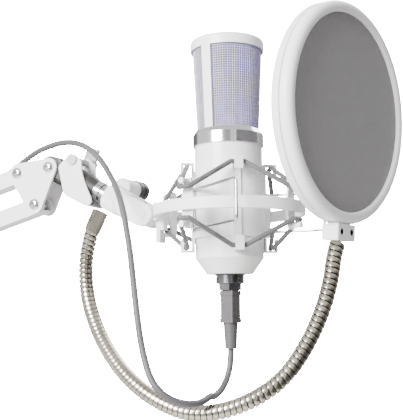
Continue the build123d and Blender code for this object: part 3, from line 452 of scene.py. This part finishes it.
print("gooseneck")
neckValues = {"crest": 5.2, "groove": 4.2, "pitch": 3.7}
neckRoute = [(-105.2, 0, -5.05), (-107.01, 0, -8.61), (-107.9, 0.1, -11.3), (-113.2, 0.9, -31.3),
             (-109.7, -1.7, -57.5),
             (-95.4, -11.2, -80.8), (-76.1, -23.7, -99.7), (-55.1, -33.8, -114.6), (-33.3, -39, -125.5),
             (-12, -40.4, -131.6), (8.9, -38.6, -129.5), (28.8, -34.1, -121.8), (45.6, -27.7, -109.4),
             (57.7, -20.1, -90.5), (66.3, -12.5, -69.5), (71.1, -6.2, -48.8), (72.2, -1.9, -32.4),
             (74.67, 1.18, -23.36)]
neckCurve = routeCurve("neckCurve", nearAll(neckRoute), 12)
neckLength = lengthOf(lineOf(neckCurve)) * 1000
neckRings = round(neckLength / neckValues["pitch"])
pitch = neckLength / neckRings
crest, groove = neckValues["crest"], neckValues["groove"]
neckSides = 32
ringProfile = [(groove, 0), (groove, 0.05 * pitch), (crest, 0.1 * pitch), (crest, 0.3 * pitch),
               (crest - 0.12, 0.62 * pitch), (crest - 0.4, 0.9 * pitch), (groove, 0.94 * pitch),
               (groove, pitch)]
deselect()
bpy.ops.mesh.primitive_plane_add(size=0.002, location=(0, 0, 0))
gooseneck = bpy.context.object
gooseneck.name = "gooseneckHose"
bpy.ops.object.mode_set(mode="EDIT")
bpy.ops.mesh.select_all(action="SELECT")
bpy.ops.mesh.merge(type="CENTER")
bpy.ops.transform.translate(value=(groove / 1000, 0, 0))
for (r0, z0), (r1, z1) in zip(ringProfile, ringProfile[1:]):
    bpy.ops.mesh.extrude_vertices_move(
        TRANSFORM_OT_translate={"value": ((r1 - r0) / 1000, 0, (z1 - z0) / 1000)})
bpy.ops.mesh.select_all(action="SELECT")
bpy.ops.mesh.spin(steps=neckSides, angle=2 * math.pi, center=(0, 0, 0), axis=(0, 0, 1))
bpy.ops.object.mode_set(mode="OBJECT")
column = len(ringProfile)
# painted shade: vertices at the groove radius get 1 in this mask, which later darkens the hose colour there
shadow = gooseneck.data.attributes.new("groove", "FLOAT", "POINT")
for vertex in gooseneck.data.vertices:      # one turn of a strip wound in a spiral
    radius = vertex.co.xy.length
    vertex.co.z += pitch / 1000 * (vertex.index // column) / neckSides
    shadow.data[vertex.index].value = 1.0 if radius < (groove + 0.1) / 1000 else 0.0
settle(gooseneck, Matrix.Rotation(math.pi / 2, 4, "Y"))
repeat = gooseneck.modifiers.new("repeat", "ARRAY")
repeat.use_relative_offset, repeat.use_constant_offset = False, True
repeat.constant_offset_displace = (pitch / 1000, 0, 0)
repeat.count = neckRings - 1
repeat.use_merge_vertices = True
repeat.merge_threshold = 0.00001
bendModifier = gooseneck.modifiers.new("bend", "CURVE")
bendModifier.object = neckCurve
applyAll(gooseneck)
discard(neckCurve)
bpy.ops.object.mode_set(mode="EDIT")
bpy.ops.mesh.select_all(action="SELECT")
bpy.ops.mesh.remove_doubles(threshold=0.00002)
bpy.ops.mesh.normals_make_consistent(inside=False)
bpy.ops.object.mode_set(mode="OBJECT")
smooth(gooseneck, 40)
hoseNickel = nickel.copy()
hoseNickel.name = "hoseNickel"
hoseNodes, hoseLinks = hoseNickel.node_tree.nodes, hoseNickel.node_tree.links
hoseShader = hoseNodes["Principled BSDF"]
# painted shade: the hose's grooves are darkened to near black in the base colour, standing in for the shade
# in the recess
grooveShade = addNode(hoseNodes, "ShaderNodeAttribute", attribute_name="groove")
hoseGrooveShade = addNode(hoseNodes, "ShaderNodeMix", data_type="RGBA")
hoseLinks.new(grooveShade.outputs["Fac"], hoseGrooveShade.inputs[0])
hoseLinks.new(hoseShader.inputs["Base Color"].links[0].from_socket, hoseGrooveShade.inputs[6])
hoseGrooveShade.inputs[7].default_value = (0.03, 0.028, 0.025, 1)
hoseLinks.new(hoseGrooveShade.outputs[2], hoseShader.inputs["Base Color"])
gooseneck.data.materials.append(hoseNickel)
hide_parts("gooseneck")
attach(gooseneck, "pop_filter")

print("grille")
grilleValues = {"bottom": 54.6, "top": 110.5, "baseRadius": 21.6, "topRadius": 24.4, "wire": 0.26,
                "uprights": 90, "rows": 35, "wave": 0.18, "inset": 0.75,
                "backingInset": 1.1, "backingGap": 0.2}
low, high = grilleValues["bottom"], grilleValues["top"]
rows, uprights = grilleValues["rows"], grilleValues["uprights"]


def grilleRadius(height):
    share = (height - low) / (high - low)
    widening = grilleValues["topRadius"] - grilleValues["baseRadius"]
    return grilleValues["baseRadius"] + share * widening - grilleValues["inset"]


wirePieces = []
for row in range(rows):
    height = low + (row + 0.5) * (high - low) / rows
    deselect()
    bpy.ops.mesh.primitive_torus_add(major_radius=grilleRadius(height) / 1000,
                                     minor_radius=grilleValues["wire"] / 1000,
                                     major_segments=uprights * 2, minor_segments=6)
    hoopWire = bpy.context.object
    for vertex in hoopWire.data.vertices:      # over one upright and under the next
        turn = math.atan2(vertex.co.y, vertex.co.x)
        shift = math.cos(turn * uprights + math.pi * row) * grilleValues["wave"] / 1000
        vertex.co += Vector((math.cos(turn), math.sin(turn), 0)) * shift
    wirePieces.append(settle(hoopWire, Matrix.Translation(near(0, 0, height))))
for index in range(uprights):
    turn = 2 * math.pi * index / uprights
    deselect()
    bpy.ops.mesh.primitive_cylinder_add(vertices=6, radius=grilleValues["wire"] / 1000,
                                        depth=(high - low) / 1000, end_fill_type="NOTHING")
    wire = bpy.context.object
    wirePieces.append(wire)
    place = Matrix.Rotation(turn, 4, "Z") @ Matrix.Translation(
        Vector((grilleRadius((low + high) / 2) / 1000, 0, 0))) @ Matrix.Rotation(
        math.atan2(grilleValues["topRadius"] - grilleValues["baseRadius"], high - low), 4, "Y")
    settle(wire, Matrix.Translation(near(0, 0, (low + high) / 2)) @ place)
wireCloth = joined("grilleWires", wirePieces)
smooth(wireCloth, 60)
wireCloth.data.materials.append(meshWire)
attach(wireCloth, "microphone")

# painted light: the backing is a dark sheet whose emission paints the LED's glow on the inner mesh layer; on
# the light ring the same glow stands for the lamp itself
glowMaterial, glowNodes, glowLinks, glowShader = newMaterial("innerGlow")
coords = addNode(glowNodes, "ShaderNodeTexCoord")
centring = addNode(glowNodes, "ShaderNodeMapping", Location=-near(0, 0, low))
glowLinks.new(coords.outputs["Object"], centring.inputs["Vector"])
split = addNode(glowNodes, "ShaderNodeSeparateXYZ")
glowLinks.new(centring.outputs["Vector"], split.inputs["Vector"])
paintedLitSide = addNode(glowNodes, "ShaderNodeMapRange")      # painted light: the side facing the capsule's front is painted lit and the far side painted dark
paintedLitSide.inputs["From Min"].default_value, paintedLitSide.inputs["From Max"].default_value = -0.017, 0.004
glowLinks.new(split.outputs["X"], paintedLitSide.inputs["Value"])
cloud = addNode(glowNodes, "ShaderNodeTexNoise", Scale=55.0, Detail=2.0)
glowLinks.new(centring.outputs["Vector"], cloud.inputs["Vector"])
glowRamp = addNode(glowNodes, "ShaderNodeValToRGB")
darkStop, litStop = glowRamp.color_ramp.elements
darkStop.position, darkStop.color = 0.36, (0.016, 0.01, 0.07, 1)
litStop.position, litStop.color = 0.6, (0.07, 0.025, 0.7, 1)
glowLinks.new(cloud.outputs["Fac"], glowRamp.inputs["Fac"])
shade = addNode(glowNodes, "ShaderNodeMix", data_type="RGBA")
shade.inputs[6].default_value = (0.03, 0.028, 0.04, 1)
glowLinks.new(paintedLitSide.outputs["Result"], shade.inputs[0])
glowLinks.new(glowRamp.outputs["Color"], shade.inputs[7])
# painted light: a bright spot where the lamp low behind the mesh shines on the backing
ledDistance = addNode(glowNodes, "ShaderNodeVectorMath", operation="DISTANCE")
glowLinks.new(coords.outputs["Object"], ledDistance.inputs[0])
ledDistance.inputs[1].default_value = near(7.5, -18.5, 58.5)
paintedLedSpot = addNode(glowNodes, "ShaderNodeMapRange")
paintedLedSpot.inputs["From Min"].default_value, paintedLedSpot.inputs["From Max"].default_value = 0.0065, 0.002
glowLinks.new(ledDistance.outputs["Value"], paintedLedSpot.inputs["Value"])
ledMix = addNode(glowNodes, "ShaderNodeMix", data_type="RGBA")
ledMix.inputs[7].default_value = (0.5, 0.08, 1.6, 1)
glowLinks.new(paintedLedSpot.outputs["Result"], ledMix.inputs[0])
glowLinks.new(shade.outputs[2], ledMix.inputs[6])
# the inner layer's diagonal wires, drawn on the backing in a painted glow
compassTurn = addNode(glowNodes, "ShaderNodeTexGradient", gradient_type="RADIAL")
glowLinks.new(centring.outputs["Vector"], compassTurn.inputs["Vector"])
diagonals = []
for slope in (1, -1):
    lean = addNode(glowNodes, "ShaderNodeMath", operation="MULTIPLY_ADD")
    glowLinks.new(compassTurn.outputs["Fac"], lean.inputs[0])
    lean.inputs[1].default_value = 2 * math.pi * 62
    rise = addNode(glowNodes, "ShaderNodeMath", operation="MULTIPLY")
    glowLinks.new(split.outputs["Z"], rise.inputs[0])
    rise.inputs[1].default_value = slope * 2 * math.pi / 0.0023
    glowLinks.new(rise.outputs[0], lean.inputs[2])
    wave = addNode(glowNodes, "ShaderNodeMath", operation="SINE")
    glowLinks.new(lean.outputs[0], wave.inputs[0])
    diagonals.append(wave)
crossing = addNode(glowNodes, "ShaderNodeMath", operation="MAXIMUM")
glowLinks.new(diagonals[0].outputs[0], crossing.inputs[0])
glowLinks.new(diagonals[1].outputs[0], crossing.inputs[1])
wireShare = addNode(glowNodes, "ShaderNodeMapRange")
wireShare.inputs["From Min"].default_value, wireShare.inputs["From Max"].default_value = 0.86, 0.98
glowLinks.new(crossing.outputs[0], wireShare.inputs["Value"])
wireMix = addNode(glowNodes, "ShaderNodeMix", data_type="RGBA")
glowLinks.new(wireShare.outputs["Result"], wireMix.inputs[0])
glowLinks.new(ledMix.outputs[2], wireMix.inputs[6])
wireMix.inputs[7].default_value = (0.2, 0.18, 0.3, 1)
# painted glow: the whole mix is emitted, so the backing shines without a lamp
glowLinks.new(wireMix.outputs[2], glowShader.inputs["Emission Color"])
glowShader.inputs["Emission Strength"].default_value = 1.1
glowShader.inputs["Base Color"].default_value = (0.012, 0.01, 0.022, 1)
glowShader.inputs["Roughness"].default_value = 0.6
backingGap, backingInset = grilleValues["backingGap"], grilleValues["backingInset"]
backingProfile = [(grilleRadius(low) - backingInset, low + backingGap),
                  (grilleRadius(high) - backingInset, high - backingGap)]
innerCloth = turned("grilleBacking", backingProfile, Matrix.Translation(near(0, 0, 0)), 96)
innerCloth.data.materials.append(glowMaterial)
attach(innerCloth, "microphone")
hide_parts("grille_mesh")

print("pop filter")
filterValues = {"radius": 72.5, "opening": 65.0, "half": 7.5, "frontFace": 3.0}
lean, facing = math.radians(-3.56), math.radians(-17.04)
filterNormal = Vector((math.cos(lean) * math.cos(facing), math.cos(lean) * math.sin(facing), math.sin(lean)))
filterAcross = Vector((-math.sin(facing), math.cos(facing), 0))
filterUp = filterNormal.cross(filterAcross)
filterCentre = near(84.2, -0.7, 59.5)
filterTurn = Matrix((filterAcross, filterUp, filterNormal)).transposed().to_4x4()
filterPlace = Matrix.Translation(filterCentre) @ filterTurn
seam = filterValues["frontFace"] - filterValues["half"]
outer, opening, half = filterValues["radius"], filterValues["opening"], filterValues["half"]
for hoopName, sign, cadName in (("hoopFront", 1, "filter_hoop_front"), ("hoopBack", -1, "filter_hoop_back")):
    profile = [(outer - 0.5, 0.25), (outer, 0.75), (outer, half - 3.6), (outer - 0.7, half - 1.9),
               (outer - 2.1, half - 0.6), (outer - 4.0, half), (opening + 1.6, half),
               (opening + 0.5, half - 0.5), (opening, half - 1.4), (opening, half - 3.0),
               (opening + 1, half - 3.6), (opening + 1, 0.25), (outer - 0.5, 0.25)]
    hoopPiece = turned(hoopName, profile, filterPlace @ Matrix.Translation(Vector((0, 0, seam / 1000)))
                       @ Matrix.Diagonal((1, 1, sign, 1)), 128, 28)
    if sign < 0:
        pick(hoopPiece)
        bpy.ops.object.mode_set(mode="EDIT")
        bpy.ops.mesh.select_all(action="SELECT")
        bpy.ops.mesh.normals_make_consistent(inside=False)
        bpy.ops.object.mode_set(mode="OBJECT")
    hoopPiece.data.materials.append(whitePlastic)
    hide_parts(cadName)
    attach(hoopPiece, "pop_filter")
clothRadius = opening + 0.8
for clothName, sign in (("clothFront", 1), ("clothBack", -1)):
    rings = [(0, 0), (12, 0.05), (26, 0.04), (40, 0.03), (54, 0.01), (clothRadius, 0)]
    cloth = turned(clothName, rings, filterPlace @ Matrix.Translation(
        Vector((0, 0, (seam + sign * (half - 3.4)) / 1000))), 96, 60)
    cloth.data.materials.append(netting)
    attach(cloth, "pop_filter")
    if sign > 0:
        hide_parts("filter_fabric")

print("elastics")
elasticValues = {"diameter": 3.2, "hookRadius": 29.4, "hookHalf": 4.6, "knobRadius": 52.3, "knobHalf": 3.9}
hookAngles, knobAngles = (-57.0, 33.0, 123.0, 213.0), (-102.0, -12.0, 78.0, 168.0)
for bandName, hookHeight, knobHeight, cadName in (("upper", 29.2, 10.7, "upper_elastic"),
                                                  ("lower", -25.4, -9.2, "lower_elastic")):
    hookSize = (elasticValues["hookRadius"], elasticValues["hookHalf"], hookHeight, True)
    knobSize = (elasticValues["knobRadius"], elasticValues["knobHalf"], knobHeight, False)
    stations = [(angle, *hookSize) for angle in hookAngles] + [(angle, *knobSize) for angle in knobAngles]
    stations.sort()
    ends, wraps = [], {True: [], False: []}
    for turnDegrees, radius, halfWidth, height, onHook in stations:
        turn = math.radians(turnDegrees)
        out = Vector((math.cos(turn), math.sin(turn), 0))
        tangent = Vector((-math.sin(turn), math.cos(turn), 0))
        station = out * radius + Vector((0, 0, height))
        pair = [near(*(station + tangent * side * halfWidth)) for side in (-1, 1)]
        lift = out * (0.0009 if not onHook else -0.0004)
        middle = (pair[0] + pair[1]) / 2 + lift
        wraps[onHook].append(tube("wrap", [pair[0], pair[0] * 0.6 + middle * 0.4 + lift * 0.4,
                                           pair[1] * 0.6 + middle * 0.4 + lift * 0.4, pair[1]],
                                  elasticValues["diameter"], 6, 3)[0])
        ends.append((pair, onHook))
    for onHook, body in ((True, "microphone"), (False, "mount")):
        wrap = joined(bandName + ("HookWraps" if onHook else "KnobWraps"), wraps[onHook])
        wrap.data.materials.append(braid)
        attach(wrap, body)
        if onHook:
            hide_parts(cadName)
    for index, (pair, onHook) in enumerate(ends):
        nextPair = ends[(index + 1) % len(ends)][0]
        span = rod(f"{bandName}Span{index}", pair[1], nextPair[0], elasticValues["diameter"], 14)
        span.data.materials.append(braid)
        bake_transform(span)

print("screws, sleeve and thread")
stemTurn = math.radians(-27)
stemDirection = Vector((math.cos(stemTurn), 0, math.sin(stemTurn)))
stemNormal = Vector((-math.sin(stemTurn), 0, math.cos(stemTurn)))
headBolt = near(-138.8, 0, 39.13)


def stemPoint(s, n=0.0, y=0.0):
    return headBolt + (stemDirection * s + stemNormal * n) / 1000 + Vector((0, y / 1000, 0))


sleeveValues = {"radius": 10.0, "grooves": 60, "start": 51.0, "end": 62.9}
sleeveProfile = [(5.7, 0), (9.2, 0), (9.8, 0.7), (9.8, 11.2), (9.2, 11.9), (5.7, 11.9), (5.7, 0)]
sleeve = turned("knurledSleeve", sleeveProfile, None, 2 * sleeveValues["grooves"], 20)
for vertex in sleeve.data.vertices:
    turn = math.atan2(vertex.co.y, vertex.co.x)
    if vertex.co.xy.length > 0.0095:
        ridge = round(turn / (math.pi / sleeveValues["grooves"])) % 2
        vertex.co.xy *= 1.018 if ridge else 0.985
settle(sleeve, placed(stemPoint(sleeveValues["start"]), stemDirection))
smooth(sleeve, 12)
sleeve.data.materials.append(whitePlastic)
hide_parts("thread_sleeve")
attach(sleeve, "sleeve")

ferruleProfile = [(9.0, -49.3)]
threadHeight = -49.3
while threadHeight < -41.2:
    ferruleProfile += [(9.3, threadHeight + 0.1), (10.2, threadHeight + 0.45), (10.2, threadHeight + 0.75),
                       (9.3, threadHeight + 1.1)]
    threadHeight += 1.25
ferruleProfile += [(10.2, -40.6), (10.2, -39), (8.4, -39), (8.4, -49.3), (9.0, -49.3)]
ferrule = turned("threadedFerrule", ferruleProfile, Matrix.Translation(near(0, 0, 0)), 56, 30)
ferrule.data.materials.append(darkChrome)
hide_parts("thread_ferrule")
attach(ferrule, "microphone")

# domed bolt heads with a round socket, one pair on every pivot
boltValues = {"plateOuter": 10.0, "shank": 2.5}
boltProfile = [(0, 0.9), (1.5, 0.9), (1.5, 2.2), (2.2, 2.18), (3.2, 1.8), (3.95, 1.1), (4.25, 0.3),
               (4.1, 0), (0, 0)]
boltPlaces = {
    "headBolts": ([(-166, 36.63), (-150.5, 12.33), (-138.8, 39.13)], "head_bolts", "head"),
    "elbowBolts": ([(-505.86, -96.28), (-477.86, -96.28), (-484.76, -48.78), (-469.26, -73.08)],
                   "elbow_bolts", "elbow"),
    "baseBolts": ([(-437.25, -419.07), (-409.25, -419.07)], "base_bolts", "base"),
}
for boltName, (spots, cadName, body) in boltPlaces.items():
    heads = []
    for x, z in spots:
        for side in (-1, 1):
            seat = placed(near(x, side * boltValues["plateOuter"], z), (0, side, 0))
            heads.append(turned("bolt", boltProfile, seat, 28, 30))
        heads.append(turned("shank", [(0, -10.2), (boltValues["shank"], -10.2),
                                         (boltValues["shank"], 10.2), (0, 10.2)],
                            placed(near(x, 0, z), (0, 1, 0)), 20, 40))
        for side in (-1, 1):
            heads.append(turned("washer", [(2.5, 6.15), (4.6, 6.15), (4.6, 7.9), (2.5, 7.9)],
                                placed(near(x, 0, z), (0, side, 0)), 24, 40))
    bolts = joined(boltName, heads)
    bolts.data.materials.append(chrome)
    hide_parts(cadName)
    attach(bolts, body)

print("finishes")
finishes = {
    whitePaint: ["body_tube", "tail_cone", "grille_frame"],
    whitePlastic: ["suspension_ring", "ring_posts", "cradle", "ring_bracket", "tilt_fork", "tilt_bolt",
                   "filter_foot"],
    armPaint: ["pop_clamp", "front_upper_rail", "front_lower_rail", "rear_upper_rail", "rear_lower_rail",
               "head_plates", "elbow_plates", "base_bracket", "clamp_frame"],
    chrome: ["trim_ring", "usb_socket", "front_handle", "side_handle", "thread_stud", "stud_nut",
             "clamp_screw"],
    darkChrome: ["lock_nut"],
    nickel: ["neck_ferrule"],
    darkPlastic: ["swivel_knob", "swivel_barrel", "foot_screws", "lock_screw", "capsule_saddle"],
    greyPlastic: ["usb_plug", "computer_plug"],
    paleGreyPlastic: ["pop_clamp_screw"],
    blackRubber: ["clamp_foot"],
    springSteel: ["front_spring", "rear_spring"],
    boardGreen: ["circuit_board"],
    brass: ["capsule_body"],
    goldFilm: ["capsule_diaphragms"],
    glowMaterial: ["light_ring"],
    braid: ["coil_strap"],
}
for material, names in finishes.items():
    for name in names:
        node[name].data.materials.clear()
        node[name].data.materials.append(material)
